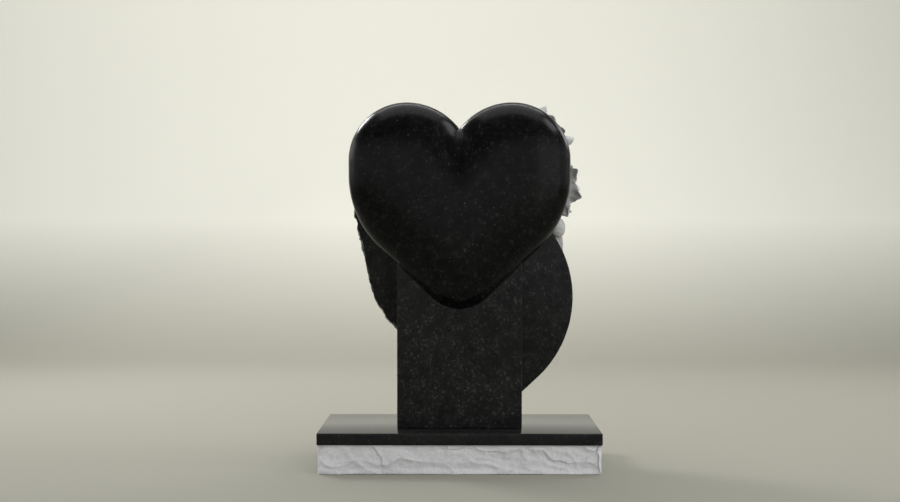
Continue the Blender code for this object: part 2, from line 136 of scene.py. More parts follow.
def finish(name, bm, materials, sharp_angle=None):
    """One piece from a bmesh, its place in its mesh, smooth but for edges sharper than an angle in degrees."""
    mesh = bpy.data.meshes.new(name)
    bm.to_mesh(mesh)
    bm.free()
    mesh.shade_smooth()
    if sharp_angle is not None:
        mesh.set_sharp_from_angle(angle=math.radians(sharp_angle))
    for material in materials:
        mesh.materials.append(material)
    piece = bpy.data.objects.new(name, mesh)
    bpy.context.scene.collection.objects.link(piece)
    return piece


def join_rings(bm, rings):
    """Quads between closed rings of the same number of vertices."""
    for lower, upper in zip(rings, rings[1:]):
        for i, first in enumerate(lower):
            j = (i + 1) % len(lower)
            bm.faces.new((first, lower[j], upper[j], upper[i]))


def eased(value):
    """0 to 1, slow at both ends."""
    value = np.clip(value, 0.0, 1.0)
    return value * value * (3 - 2 * value)


def scoops(along, up, seed):
    """Shell-shaped hollows, one for each cell of a shaken grid: 1 at a deep one's bottom, 0 on the ridges."""
    shake = np.random.default_rng(seed).random((SHAKEN_CELLS, SHAKEN_CELLS, 3))
    best = np.full(along.shape, np.inf)
    depth = np.zeros(along.shape)
    for du in (-1, 0, 1):
        for dv in (-1, 0, 1):
            cell_u, cell_v = np.floor(along) + du, np.floor(up) + dv
            jitter = shake[cell_u.astype(int) % SHAKEN_CELLS, cell_v.astype(int) % SHAKEN_CELLS]
            away = (along - cell_u - jitter[..., 0]) ** 2 + (up - cell_v - jitter[..., 1]) ** 2
            bowl = (SHALLOWEST + (1 - SHALLOWEST) * jitter[..., 2]) * (1 - BOWL_FALL * away)
            depth = np.where(away < best, bowl, depth)
            best = np.minimum(best, away)
    return np.clip(depth, 0.0, 1.0)


def wavy(points, cell, seed):
    """Smooth noise at each point, about -0.7 to 0.7."""
    shift = Vector((seed * 3.7, seed * 1.3, seed * 7.1))
    return np.array([noise.noise(Vector(p) / cell + shift) for p in points])


def base_bmesh():
    """Rings of points up the four pitched sides, each point cut back by its scoops, closed by two sawn faces."""
    height = base_high.z - base_low.z
    rows = np.linspace(0.0, height, round(height / FACE_STEP) + 1)
    corners = [Vector((base_low.x, base_low.y)), Vector((base_high.x, base_low.y)),
               Vector((base_high.x, base_high.y)), Vector((base_low.x, base_high.y))]
    plan, inward, run, from_corner = [], [], [], []
    start = 0.0
    for i, corner in enumerate(corners):
        side = corners[(i + 1) % 4] - corner
        count = round(side.length / FACE_STEP)
        into = Vector((-side.y, side.x)).normalized()
        for k in range(count):
            plan.append(corner + side * k / count)
            inward.append(into if k else into + Vector((into.y, -into.x)))
            run.append(start + side.length * k / count)
            from_corner.append(min(k, count - k) * side.length / count)
        start += side.length
    plan, inward, run, from_corner = map(np.array, (plan, inward, run, from_corner))
    grid = np.array([(x, y, z) for z in rows for x, y in plan])
    shape = (len(rows), len(plan))
    bend = [wavy(grid, BEND_CELL, seed).reshape(shape) for seed in (1, 2)]
    grit = wavy(grid, GRIT_CELL, 3).reshape(shape)
    along = run[None, :] / SCOOP_LONG + SCOOP_SLANT * rows[:, None] / SCOOP_TALL + BEND_ALONG * bend[0]
    up = rows[:, None] / SCOOP_TALL + BEND_UP * bend[1]
    small = scoops(along * SMALL_ALONG, up * SMALL_UP, 8)
    hollow = SCOOP_SHARE * scoops(along, up, 5) + SMALL_SHARE * small + GRIT_SHARE * grit
    foot_fade = FOOT_ROUGHNESS + (1 - FOOT_ROUGHNESS) * eased(rows / FOOT_FADE)
    row_fade = foot_fade * eased((height - rows) / ARRIS_FADE)
    corner_fade = eased((from_corner + CORNER_MARGIN) / ARRIS_FADE)
    fade = row_fade[:, None] * corner_fade[None, :]
    cut = ARRIS_MARGIN + SCOOP_DEPTH * np.clip(hollow, 0.0, DEEPEST) * fade
    bm = bmesh.new()
    rings = []
    for z, line in zip(rows, cut):
        spots = plan + inward * line[:, None]
        rings.append([bm.verts.new((x, y, base_low.z + z)) for x, y in spots])
    join_rings(bm, rings)
    bm.faces.new(reversed(rings[0]))
    bm.faces.new(rings[-1])
    return bm


rock_faced_granite = pale_granite(
    "rock-faced grey granite", (0.72, 0.72, 0.74), (0.65, 0.65, 0.67), (0.48, 0.48, 0.49), 0.0016, 0.80, 0.50)
base_course = finish("rock_faced_base", base_bmesh(), [rock_faced_granite], 60)
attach(base_course, "root")
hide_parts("base_course")


# Base slab: a sawn slab of near-black granite bedded on the base course, its sides flush with it.
# All its faces are polished to a mirror, and a narrow rounded arris runs round every edge.
slab_low, slab_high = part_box("base_slab")
SLAB_ARRIS = 0.0022
LATH_TURNS = (0.2, 0.4, 0.1), (0.5, 1.5, 0.3), (0.1, 2.5, 0.6)
LATH_SHARE, LATH_BEND = 0.24, 0.006


def laths(material, place, turn, long, thin, share):
    """Needle-shaped feldspar crystals that lie one way: 1 inside a crystal, 0 in the dark ground between."""
    turned = add(material, "ShaderNodeMapping", {
        "Vector": place, "Rotation": turn, "Scale": (long, thin, thin)}, vector_type="TEXTURE")
    cells = add(material, "ShaderNodeTexVoronoi", {"Vector": turned.outputs["Vector"], "Scale": 1.0})
    chance = add(material, "ShaderNodeSeparateColor", {"Color": cells.outputs["Color"]})
    picked = graded(material, chance.outputs["Red"], 1 - share, 1.0, 0.0, 1.0)
    inside = graded(material, cells.outputs["Distance"], 0.25, 0.55, 1.0, 0.0)
    return add(material, "ShaderNodeMath", {0: picked, 1: inside}, operation="MULTIPLY").outputs["Value"]


def black_granite(name, body, cloud_tone, lath_size, lath_tone, fleck_tone, rough, specular):
    """A near-black granite: soft dark clouds, laths of grey feldspar every way, and scattered pale flecks."""
    material, shader, place = new_stone(name)
    bend = add(material, "ShaderNodeTexNoise", {"Vector": place, "Scale": 60.0, "Detail": 2.0})
    bent = add(material, "ShaderNodeVectorMath", {
        0: bend.outputs["Color"], 1: (LATH_BEND,) * 3}, operation="MULTIPLY")
    warped = add(material, "ShaderNodeVectorMath", {0: place, 1: bent.outputs["Vector"]}, operation="ADD")
    cloud = add(material, "ShaderNodeTexNoise", {
        "Vector": place, "Scale": 38.0, "Detail": 5.0, "Roughness": 0.65})
    ground = colours(material, cloud.outputs[0], [
        (0.36, (body, body, body * 1.08)), (0.70, (cloud_tone,) * 3)])
    for turn in LATH_TURNS:
        crystals = laths(material, warped.outputs[0], turn, *lath_size, LATH_SHARE)
        patch = graded(material, cloud.outputs[0], 0.40, 0.60, 0.15, 1.0)
        cover = add(material, "ShaderNodeMath", {0: crystals, 1: patch}, operation="MULTIPLY")
        ground = mixed(material, cover.outputs["Value"], ground, (*lath_tone, 1.0))
    speck = add(material, "ShaderNodeTexVoronoi", {"Vector": place, "Scale": 90.0})
    near = graded(material, speck.outputs["Distance"], 0.10, 0.20, 1.0, 0.0)
    chosen = add(material, "ShaderNodeSeparateColor", {"Color": speck.outputs["Color"]})
    bright = graded(material, chosen.outputs["Green"], 0.80, 1.0, 0.0, 1.0)
    flecks = add(material, "ShaderNodeMath", {0: near, 1: bright}, operation="MULTIPLY").outputs["Value"]
    wire(material, mixed(material, flecks, ground, (*fleck_tone, 1.0)), shader, "Base Color")
    polish = add(material, "ShaderNodeTexNoise", {"Vector": place, "Scale": 30.0, "Detail": 3.0})
    wire(material, graded(material, polish.outputs[0], 0.3, 0.7, rough * 0.85, rough * 1.2), shader, "Roughness")
    ripple = add(material, "ShaderNodeBump", {
        "Height": cloud.outputs[0], "Strength": 0.05, "Distance": 0.0004})
    wire(material, ripple.outputs["Normal"], shader, "Normal")
    shader.inputs["Specular IOR Level"].default_value = specular
    return material


def block_bmesh(low, high, arris, segments=4):
    """A sawn block with rounded arrises."""
    bm = bmesh.new()
    size, centre = Vector(high) - Vector(low), (Vector(high) + Vector(low)) / 2
    bmesh.ops.create_cube(bm, size=1.0, matrix=Matrix.Translation(centre) @ Matrix.Diagonal((*size, 1.0)))
    bmesh.ops.bevel(bm, geom=bm.edges, offset=arris, segments=segments, profile=0.5, affect="EDGES")
    return bm


mirror_black = black_granite(
    "mirror-polished black granite", 0.0090, 0.0140, (0.0090, 0.0038), (0.030,) * 3, (0.08,) * 3, 0.05, 0.12)
base_slab = finish("polished_base_slab", block_bmesh(slab_low, slab_high, SLAB_ARRIS), [mirror_black], 30)
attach(base_slab, "root")
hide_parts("base_slab")


# Heart stone: a puffed heart and the square column that carries it, carved from one block of black granite.
# The heart stands proud of the column's back, with a ground fillet where its tip meets the column.
# The heart is polished; the column is polished to the same black and shows more of the grain.
HEART_TIP = 0.4283
HEART_MID = 0.065
HEART_HALF_WIDTH = 0.299
TIP_RADIUS = 0.105
CHEEK_RADIUS, CHEEK_RISE = 0.270, 0.360
LOBE_RADIUS, LOBE_RISE = 0.1565, 0.399
INNER_LOBE_RADIUS = 0.178
CORE_RISE = 0.300
SWELL, BACK_SHOULDER, TIP_SHOULDER, FRONT_SHOULDER = 0.080, 0.150, 0.100, 0.070
COLUMN_HALF, COLUMN_BACK, COLUMN_FRONT = 0.1675, 0.090, -0.017
COLUMN_FOOT, COLUMN_TENON = 0.1076, 0.190
COLUMN_ARRIS = 0.003
FILLET, FILLET_SINK = 0.021, 0.0004
FILLET_MARGIN, FILLET_FADE = 0.001, 0.012
CREASE_DEPTH, CREASE_WIDTH = 0.030, 0.045
CREASE_ROUNDING, CREASE_OPENING = 0.002, 0.030
CREASE_FOOT, CLEFT_RISE = 0.250, 0.472
HEART_STEP, HEART_RINGS = 0.004, 46


def arc(circle, start, end, step):
    """Points along a circle (x, z, radius), from one angle to the other in radians."""
    x, z, radius = circle
    count = max(1, round(abs(end - start) * radius / step))
    angles = [start + (end - start) * i / count for i in range(count + 1)]
    return [Vector((x + radius * math.cos(a), z + radius * math.sin(a))) for a in angles]


def belt(circles, start, end, step):
    """A smooth outline round a chain of circles, anticlockwise, with tangent straights between them."""
    points, angle = [], start
    for circle, following in zip(circles, circles[1:] + [None]):
        leave = end
        if following:
            across = Vector((following[0] - circle[0], following[1] - circle[1]))
            ratio = max(-1.0, min(1.0, (circle[2] - following[2]) / across.length))
            leave = math.atan2(across.y, across.x) - math.acos(ratio)
        least = angle - math.pi / 2
        leave = least + (leave - least) % math.tau
        points += arc(circle, angle, leave, step)
        angle = leave
    kept = [points[0]]
    for point in points[1:]:
        gap = (point - kept[-1]).length
        if gap > step * 0.3:
            count = max(1, round(gap / step))
            kept += [kept[-1].lerp(point, i / count) for i in range(1, count)] + [point]
    return kept


def heart_outline(step):
    """Closed outline of the heart, its tip at (0, 0), anticlockwise seen from the front."""
    lobe = HEART_HALF_WIDTH - LOBE_RADIUS
    circles = [
        (0.0, TIP_RADIUS, TIP_RADIUS),
        (HEART_HALF_WIDTH - CHEEK_RADIUS, CHEEK_RISE, CHEEK_RADIUS),
        (lobe, LOBE_RISE, LOBE_RADIUS),
        (lobe, LOBE_RISE + LOBE_RADIUS - INNER_LOBE_RADIUS, INNER_LOBE_RADIUS),
    ]
    cleft = math.pi - math.acos(lobe / INNER_LOBE_RADIUS)
    right = belt(circles, -math.pi / 2, cleft, step)
    right[0].x = right[-1].x = 0.0
    return right + [Vector((-p.x, p.y)) for p in reversed(right[1:-1])]


def inside_measure(points, outline):
    """A rounded measure of how far each point is inside a closed outline."""
    a = np.array(outline, float)
    along = np.roll(a, -1, axis=0) - a
    length = np.linalg.norm(along, axis=1)
    along /= length[:, None]
    found = []
    for batch in np.array_split(points, max(1, len(points) // 4000)):
        offset = batch[:, None, :] - a[None]
        start = -(offset * along[None]).sum(axis=2)
        end = start + length[None]
        square = np.maximum((offset**2).sum(axis=2) - start**2, 1e-12)
        seen = end / np.sqrt(end**2 + square) - start / np.sqrt(start**2 + square)
        found.append((np.maximum((seen / square).sum(axis=1), 1e-9) / 2) ** -0.5)
    return np.concatenate(found)


def heart_bmesh():
    """The puffed heart: a dome on each side of its mid-plane, with a fillet where it meets the column."""
    outline = heart_outline(HEART_STEP)
    count = len(outline)
    core = Vector((0.0, CORE_RISE))
    shares = [math.cos(math.pi / 2 * ring / HEART_RINGS) for ring in range(1, HEART_RINGS)]
    spots = np.array([core.lerp(p, share) for share in shares for p in outline] + [core])
    inside = inside_measure(spots, outline)
    bm = bmesh.new()
    rim = [bm.verts.new((p.x, HEART_MID, HEART_TIP + p.y)) for p in outline]
    towards_tip = 1 - eased(spots[:, 1] / CORE_RISE)
    towards_cleft = eased((spots[:, 1] - CREASE_FOOT) / (CLEFT_RISE - CREASE_FOOT))
    rounding = CREASE_ROUNDING + CREASE_OPENING * (1 - towards_cleft)
    off_crease = np.sqrt(spots[:, 0] ** 2 + rounding**2)
    crease = CREASE_DEPTH * towards_cleft * np.exp(-off_crease / CREASE_WIDTH)
    back_shoulder = BACK_SHOULDER + (TIP_SHOULDER - BACK_SHOULDER) * towards_tip
    for side, shoulder in ((-1, FRONT_SHOULDER), (1, back_shoulder)):
        swell = SWELL * np.sqrt(1 - (1 - np.minimum(inside / shoulder, 1.0)) ** 2)
        swell = swell - crease * np.minimum(swell / SWELL, 1.0)
        if side > 0:
            above = HEART_MID + swell - (COLUMN_BACK - FILLET_SINK)
            blend = np.maximum(FILLET - np.abs(above), 0.0) ** 2 / (4 * FILLET) + np.maximum(-above, 0.0)
            within = eased((COLUMN_HALF - FILLET_MARGIN - np.abs(spots[:, 0])) / FILLET_FADE)
            low = spots[:, 1] < CORE_RISE
            swell = swell + blend * within * low
        dome = [bm.verts.new((x, HEART_MID + side * h, HEART_TIP + z)) for (x, z), h in zip(spots, swell)]
        apex = dome.pop()
        rings = [rim] + [dome[i : i + count] for i in range(0, len(dome), count)]
        join_rings(bm, rings)
        for i in range(count):
            bm.faces.new((rings[-1][i], rings[-1][(i + 1) % count], apex))
    bmesh.ops.recalc_face_normals(bm, faces=bm.faces)
    return bm


def settled(piece):
    """The piece as its modifiers leave it: a plain mesh, with the modifiers gone."""
    graph = bpy.context.evaluated_depsgraph_get()
    graph.update()
    mesh = bpy.data.meshes.new_from_object(piece.evaluated_get(graph))
    piece.modifiers.clear()
    piece.data = mesh
    return piece


def carve(piece, other, operation):
    """Add or take away one closed block from another."""
    modifier = piece.modifiers.new(operation.title(), "BOOLEAN")
    modifier.operation = operation
    modifier.solver = "EXACT"
    modifier.object = other
    settled(piece)
    bpy.data.objects.remove(other)
    return piece


heart_black = black_granite(
    "polished black granite", 0.0014, 0.0050, (0.0150, 0.0070), (0.0150,) * 3, (0.050,) * 3, 0.22, 0.12)
column_black = black_granite(
    "polished black granite, open grain",
    0.0070, 0.0155, (0.0120, 0.0044), (0.052,) * 3, (0.090,) * 3, 0.26, 0.12)
heart_stone = finish("carved_heart_and_column", heart_bmesh(), [heart_black, column_black])
column_from = -COLUMN_HALF, COLUMN_FRONT, COLUMN_FOOT
column_to = COLUMN_HALF, COLUMN_BACK, HEART_TIP + COLUMN_TENON
column_block = finish(
    "column_block", block_bmesh(column_from, column_to, COLUMN_ARRIS), [heart_black, column_black])
for polygon in column_block.data.polygons:
    polygon.material_index = 1
carve(heart_stone, column_block, "UNION")
heart_stone.data.shade_smooth()
heart_stone.data.set_sharp_from_angle(angle=math.radians(40))
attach(heart_stone, "root")
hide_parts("heart_stone")


# Front tablet: a leaning heart of black granite, sawn 60 mm thick, that stands on a blunt foot
# before the column. Its faces are polished. One flank is pitched by hand from both faces, and the rest
# of its edge is polished smooth.
TABLET_BACK, TABLET_FRONT, TABLET_FOOT = -0.0173, -0.0773, 0.1076
TABLET_ARRIS = 0.003
TABLET_STEP, TABLET_LAYERS = 0.0030, 20
LOW_LOBE_RADIUS, PITCH_START = 0.173, 0.012
CHIP_LONG, CHIP_DEEP = 0.021, 0.024
CHIP_CUT, CHIP_NOTCH = 0.0085, 0.0050
LARGE_CHIPS, SMALL_CHIPS = 0.75, 0.25
MIDDLE_PROUD, EDGE_PROUD = 0.0045, 0.0005


def tablet_outline(step):
    """Closed outline, anticlockwise, and how roughly each point's edge is pitched."""
    # Each circle: x, z and radius. The foot's two are points.
    foot_left, foot_right = (-0.082, 0.0, 0.0), (-0.030, 0.0, 0.0)
    flank, high_lobe, belly = (0.036, 0.429, 0.220), (0.170, 0.590, 0.125), (-0.009, 0.3475, 0.304)
    reach = (belly[2] - LOW_LOBE_RADIUS) * math.sqrt(0.5)
    low_lobe = (belly[0] - reach, belly[1] + reach, LOW_LOBE_RADIUS)
    a, b = Vector(high_lobe[:2]), Vector(low_lobe[:2])
    across = b - a
    along = (across.length_squared + high_lobe[2] ** 2 - low_lobe[2] ** 2) / (2 * across.length)
    rise = math.sqrt(max(0.0, high_lobe[2] ** 2 - along**2))
    unit = across.normalized()
    cleft = a + unit * along + Vector((unit.y, -unit.x)) * rise
    leave = math.atan2(cleft.y - a.y, cleft.x - a.x)
    enter = math.atan2(cleft.y - b.y, cleft.x - b.x)
    pitched = belt([foot_right, flank, high_lobe], -math.pi / 2, leave, step)
    smooth = belt([low_lobe, belly, foot_left], enter, 1.5 * math.pi, step)
    top = max(range(len(pitched)), key=lambda i: pitched[i].y)
    rough = [0.0] * (len(pitched) + len(smooth) - 1)
    for i in range(1, top):
        rough[i] = min(1.0, (pitched[top].y - pitched[i].y) / high_lobe[2], i * step / PITCH_START)
    return pitched + smooth[1:], np.array(rough)


def tablet_bmesh():
    """Rings of points through the tablet's thickness, the pitched flank's broken in and out by chips."""
    outline, rough = tablet_outline(TABLET_STEP)
    spots = np.array(outline)
    tangent = np.roll(spots, -1, axis=0) - np.roll(spots, 1, axis=0)
    tangent /= np.linalg.norm(tangent, axis=1)[:, None]
    normal = np.stack([tangent[:, 1], -tangent[:, 0]], axis=1)
    run = np.concatenate([[0.0], np.cumsum(np.linalg.norm(np.diff(spots, axis=0), axis=1))])
    thickness = TABLET_BACK - TABLET_FRONT
    turns = [0.0, 0.3, 0.62, 1.0]
    layers = [(TABLET_ARRIS * (1 - math.sin(t * math.pi / 2)), TABLET_ARRIS * (1 - math.cos(t * math.pi / 2)))
              for t in turns]
    edge = [(d, s) for s, d in layers]
    inner = [(TABLET_ARRIS + (thickness - 2 * TABLET_ARRIS) * k / TABLET_LAYERS, 0.0)
             for k in range(1, TABLET_LAYERS)]
    profile = edge + inner + [(thickness - d, s) for d, s in reversed(edge)]
    notch = scoops(run / CHIP_LONG + 0.4, np.full(len(run), 0.5), 23)
    bm = bmesh.new()
    rings = []
    for deep, inset in profile:
        along = run / CHIP_LONG + 0.25 * np.sin(run / 0.05)
        across = np.full(len(run), deep / CHIP_DEEP) + 0.2 * np.sin(run / 0.017)
        chip = LARGE_CHIPS * scoops(along, across, 21) + SMALL_CHIPS * scoops(along * 2.2, across * 2.0, 22)
        mid = 1 - abs(2 * deep / thickness - 1)
        cut = rough * (CHIP_CUT * chip + CHIP_NOTCH * notch - MIDDLE_PROUD * mid - EDGE_PROUD)
        ring = spots - normal * (cut + inset * (1 - 0.5 * rough))[:, None]
        rings.append([bm.verts.new((x, TABLET_BACK - deep, TABLET_FOOT + max(z, 0.0))) for x, z in ring])
    join_rings(bm, rings)
    bm.faces.new(reversed(rings[0]))
    bm.faces.new(rings[-1])
    bmesh.ops.recalc_face_normals(bm, faces=bm.faces)
    return bm


front_tablet = finish("leaning_heart_tablet", tablet_bmesh(), [column_black], 42)
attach(front_tablet, "root")
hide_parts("front_tablet")


# Rose spray: three roses with buds, leaves and stems, carved in the round from grey granite and
# sanded matt. It lies on the heart's lobe and on the tablet's shoulder. Each ring of petals is one petal
# repeated round the core.
SPRAY_VOXEL = 0.00215
PETAL_THICKNESS = 0.0048
PETAL_ROWS, PETAL_COLUMNS = 15, 19
LEAF_LENGTH = 0.100
LEAF_ROWS, LEAF_COLUMNS = 33, 13
LEAF_END_WIDTH = 0.002
TEETH, TOOTH_CUT = 11, 0.07
VEINS, VEIN_RISE = 7, 0.05
MIDRIB_CUT, MIDRIB_WIDTH = 0.10, 0.12
BUD_RINGS, BUD_COLUMNS, BUD_WRAPS = 25, 40, 3
STEM_DEPTH, KNUCKLE = 0.12, 1.05
LOBE_ORIGIN = Vector((-HEART_HALF_WIDTH, TABLET_BACK, HEART_TIP + LOBE_RISE))


def on_heart(inset, up, forward):
    """A place on the lobe, in leaf lengths in from its edge, up, and forward of the tablet's back."""
    return LOBE_ORIGIN + Vector((inset, -forward, up)) * LEAF_LENGTH


def on_tablet(inset, up, forward):
    """The same place, but forward of the tablet's face."""
    return on_heart(inset, up, forward) + Vector((0.0, TABLET_FRONT - TABLET_BACK, 0.0))


def shell(bm, rows, thickness):
    """A closed sheet of stone round a grid of points, thinner towards its last row."""
    grid = np.array(rows)
    du = np.gradient(grid, axis=1)
    dv = np.gradient(grid, axis=0)
    normal = np.cross(du, dv)
    normal /= np.linalg.norm(normal, axis=2)[..., None] + 1e-12
    thin = thickness * np.linspace(1.0, 0.68, len(rows))[:, None, None] / 2
    lower = [[bm.verts.new(p) for p in row] for row in grid - normal * thin]
    upper = [[bm.verts.new(p) for p in row] for row in grid + normal * thin]
    last, across = len(rows) - 1, len(rows[0]) - 1
    for r in range(last):
        for c in range(across):
            bm.faces.new((lower[r][c], lower[r + 1][c], lower[r + 1][c + 1], lower[r][c + 1]))
            bm.faces.new((upper[r][c], upper[r][c + 1], upper[r + 1][c + 1], upper[r + 1][c]))
    rim = [(0, c) for c in range(across)] + [(r, across) for r in range(last)]
    rim += [(last, c) for c in range(across, 0, -1)] + [(r, 0) for r in range(last, 0, -1)]
    for (r, c), (s, d) in zip(rim, rim[1:] + rim[:1]):
        bm.faces.new((lower[r][c], lower[s][d], upper[s][d], upper[r][c]))


def petal_mesh(radius, point, spread, reach, lift, curl):
    """One petal facing +X: a cupped fan from the core to a ruffled, pointed rim that rolls back."""
    core, roll_start = 0.12, 0.60
    rows = []
    for v in np.linspace(0.0, 1.0, PETAL_ROWS):
        row = []
        for u in np.linspace(-1.0, 1.0, PETAL_COLUMNS):
            run = v * (1 - point * u * u + 0.05 * math.exp(-(u / 0.2) ** 2))
            roll = max(0.0, run - roll_start) / (1 - roll_start)
            wave = 0.022 * math.sin(7.0 * u + 1.0) * v * v
            out = radius * (core + (reach - core) * run**0.85 + curl * 0.09 * roll**2 + wave)
            ruffle = 0.030 * math.sin(8.0 * u + 2.0) * v**3
            tilt = (0.035 * u * u + 0.07 * u) * v
            high = radius * (lift * run**1.4 - curl * 0.24 * roll**2.4 + tilt + ruffle)
            angle = spread * u * (0.55 + 0.45 * math.sin(math.pi * min(run, 0.8)))
            row.append((out * math.cos(angle), out * math.sin(angle), high))
        rows.append(row)
    bm = bmesh.new()
    shell(bm, rows, PETAL_THICKNESS)
    bmesh.ops.recalc_face_normals(bm, faces=bm.faces)
    mesh = bpy.data.meshes.new("petal")
    bm.to_mesh(mesh)
    bm.free()
    return mesh


def petal_ring_tree():
    """Geometry Nodes: the object's own petal, repeated round the Z axis with small seeded turns and sizes."""
    tree = bpy.data.node_groups.new("petal ring", "GeometryNodeTree")
    face = tree.interface
    face.new_socket("Geometry", in_out="INPUT", socket_type="NodeSocketGeometry")
    for name, kind in (("Petals", "Int"), ("Start Turn", "Float"), ("Shake", "Float"),
                       ("Size Shake", "Float"), ("Seed", "Int"), ("Stone", "Material")):
        face.new_socket(name, in_out="INPUT", socket_type="NodeSocket" + kind)
    face.new_socket("Geometry", in_out="OUTPUT", socket_type="NodeSocketGeometry")
    node, link = tree.nodes.new, tree.links.new
    given, made = node("NodeGroupInput"), node("NodeGroupOutput")
    points, index = node("GeometryNodePoints"), node("GeometryNodeInputIndex")
    link(given.outputs["Petals"], points.inputs["Count"])
    share = node("ShaderNodeMath")
    share.operation = "DIVIDE"
    link(index.outputs[0], share.inputs[0])
    link(given.outputs["Petals"], share.inputs[1])
    turn = node("ShaderNodeMath")
    turn.operation = "MULTIPLY_ADD"
    turn.inputs[1].default_value = math.tau
    link(share.outputs[0], turn.inputs[0])
    link(given.outputs["Start Turn"], turn.inputs[2])

    def shaken(amount, offset):
        """A socket for the offset, plus a seeded share of the amount either way."""
        value = node("FunctionNodeRandomValue")
        value.data_type = "FLOAT"
        value.inputs[2].default_value, value.inputs[3].default_value = -1.0, 1.0
        link(index.outputs[0], value.inputs["ID"])
        link(given.outputs["Seed"], value.inputs["Seed"])
        scaled = node("ShaderNodeMath")
        scaled.operation = "MULTIPLY_ADD"
        link(value.outputs[1], scaled.inputs[0])
        link(amount, scaled.inputs[1])
        if isinstance(offset, bpy.types.NodeSocket):
            link(offset, scaled.inputs[2])
        else:
            scaled.inputs[2].default_value = offset
        return scaled.outputs[0]

    euler, rotation = node("ShaderNodeCombineXYZ"), node("FunctionNodeEulerToRotation")
    link(shaken(given.outputs["Shake"], turn.outputs[0]), euler.inputs["Z"])
    link(euler.outputs[0], rotation.inputs[0])
    around = node("GeometryNodeInstanceOnPoints")
    link(points.outputs[0], around.inputs["Points"])
    link(given.outputs["Geometry"], around.inputs["Instance"])
    link(rotation.outputs[0], around.inputs["Rotation"])
    link(shaken(given.outputs["Size Shake"], 1.0), around.inputs["Scale"])
    real, stone = node("GeometryNodeRealizeInstances"), node("GeometryNodeSetMaterial")
    link(around.outputs[0], real.inputs[0])
    link(real.outputs[0], stone.inputs["Geometry"])
    link(given.outputs["Stone"], stone.inputs["Material"])
    link(stone.outputs[0], made.inputs[0])
    return tree


def petal_ring(tree, petal, values):
    """One ring of a rose as a plain mesh."""
    holder = bpy.data.objects.new("petal_ring", petal)
    bpy.context.scene.collection.objects.link(holder)
    modifier = holder.modifiers.new("Petal ring", "NODES")
    modifier.node_group = tree
    for item in tree.interface.items_tree:
        if item.item_type == "SOCKET" and item.in_out == "INPUT" and item.name in values:
            modifier[item.identifier] = values[item.name]
    settled(holder)
    mesh = holder.data
    bpy.data.objects.remove(holder)
    return mesh


def rose_frame(centre, lean_out, lean_up):
    """A rose's own axes: it faces forward, leaned outwards and upwards by angles in degrees."""
    facing = Vector((-math.sin(math.radians(lean_out)), -1.0, math.sin(math.radians(lean_up)))).normalized()
    return Matrix.Translation(centre) @ facing.to_track_quat("Z", "Y").to_matrix().to_4x4()


def rose(bm, tree, place, radius, petals, point, start, seed):
    """A full-blown rose in rings of petals round a tight core, its first petal at an angle in degrees."""
    # Each ring: petals, half width of one in radians, reach, lift, curl and turn in degrees.
    rings = [
        (petals, 3.3 / petals, 1.00, 0.12, 1.00, 0),
        (petals - 1, 4.1 / (petals - 1), 0.90, 0.26, 0.90, 20),
        (5, 0.80, 0.70, 0.46, 0.70, 40),
        (5, 0.80, 0.52, 0.58, 0.45, 70),
        (4, 0.92, 0.38, 0.64, 0.25, 20),
        (3, 1.05, 0.26, 0.68, 0.12, 50),
    ]
    for index, (count, spread, reach, lift, curl, turn) in enumerate(rings):
        ring = petal_ring(tree, petal_mesh(radius, point, spread, reach, lift, curl), {
            "Petals": count, "Start Turn": math.radians(start + turn), "Shake": 0.08, "Size Shake": 0.03,
            "Seed": seed + index, "Stone": sanded_granite})
        ring.transform(place)
        bm.from_mesh(ring)
    # A tight core, and a cup under the petals that holds the rings together.
    core = place @ Matrix.Translation((0, 0, radius * 0.22)) @ Matrix.Diagonal((0.17, 0.17, 0.42, 1.0))
    bmesh.ops.create_icosphere(bm, subdivisions=3, radius=radius, matrix=core)
    cup = place @ Matrix.Translation((0, 0, -radius * 0.12)) @ Matrix.Diagonal((0.55, 0.55, 0.30, 1.0))
    bmesh.ops.create_icosphere(bm, subdivisions=3, radius=radius, matrix=cup)


def leaf(bm, root, tip, width, face, bow):
    """A pointed rose leaf with a sunk midrib, raised veins and a toothed edge."""
    along = tip - root
    across = along.cross(face).normalized()
    up = across.cross(along).normalized()
    if up.dot(face) < 0:
        up = -up
    rows = []
    for v in np.linspace(0.0, 1.0, LEAF_ROWS):
        half = (width * math.sin(math.pi * (0.08 + 0.90 * v) ** 0.85) + LEAF_END_WIDTH) / 2
        tooth = 1 + TOOTH_CUT * (0.5 - (v * TEETH) % 1.0) * math.sin(math.pi * v)
        row = []
        for u in np.linspace(-1.0, 1.0, LEAF_COLUMNS):
            vein = VEIN_RISE * math.cos(math.tau * (v * VEINS - abs(u) * 1.6)) * (1 - abs(u)) * abs(u) * 4
            rib = -MIDRIB_CUT * math.exp(-(u / MIDRIB_WIDTH) ** 2)
            height = 0.28 * abs(u) + vein + rib
            lag = along * 0.05 * abs(u) ** 1.5 * v
            middle = root + along * v - lag + up * bow * math.sin(math.pi * v)
            row.append(middle + across * half * tooth * u + up * half * height)
        rows.append(row)
    shell(bm, rows, PETAL_THICKNESS)


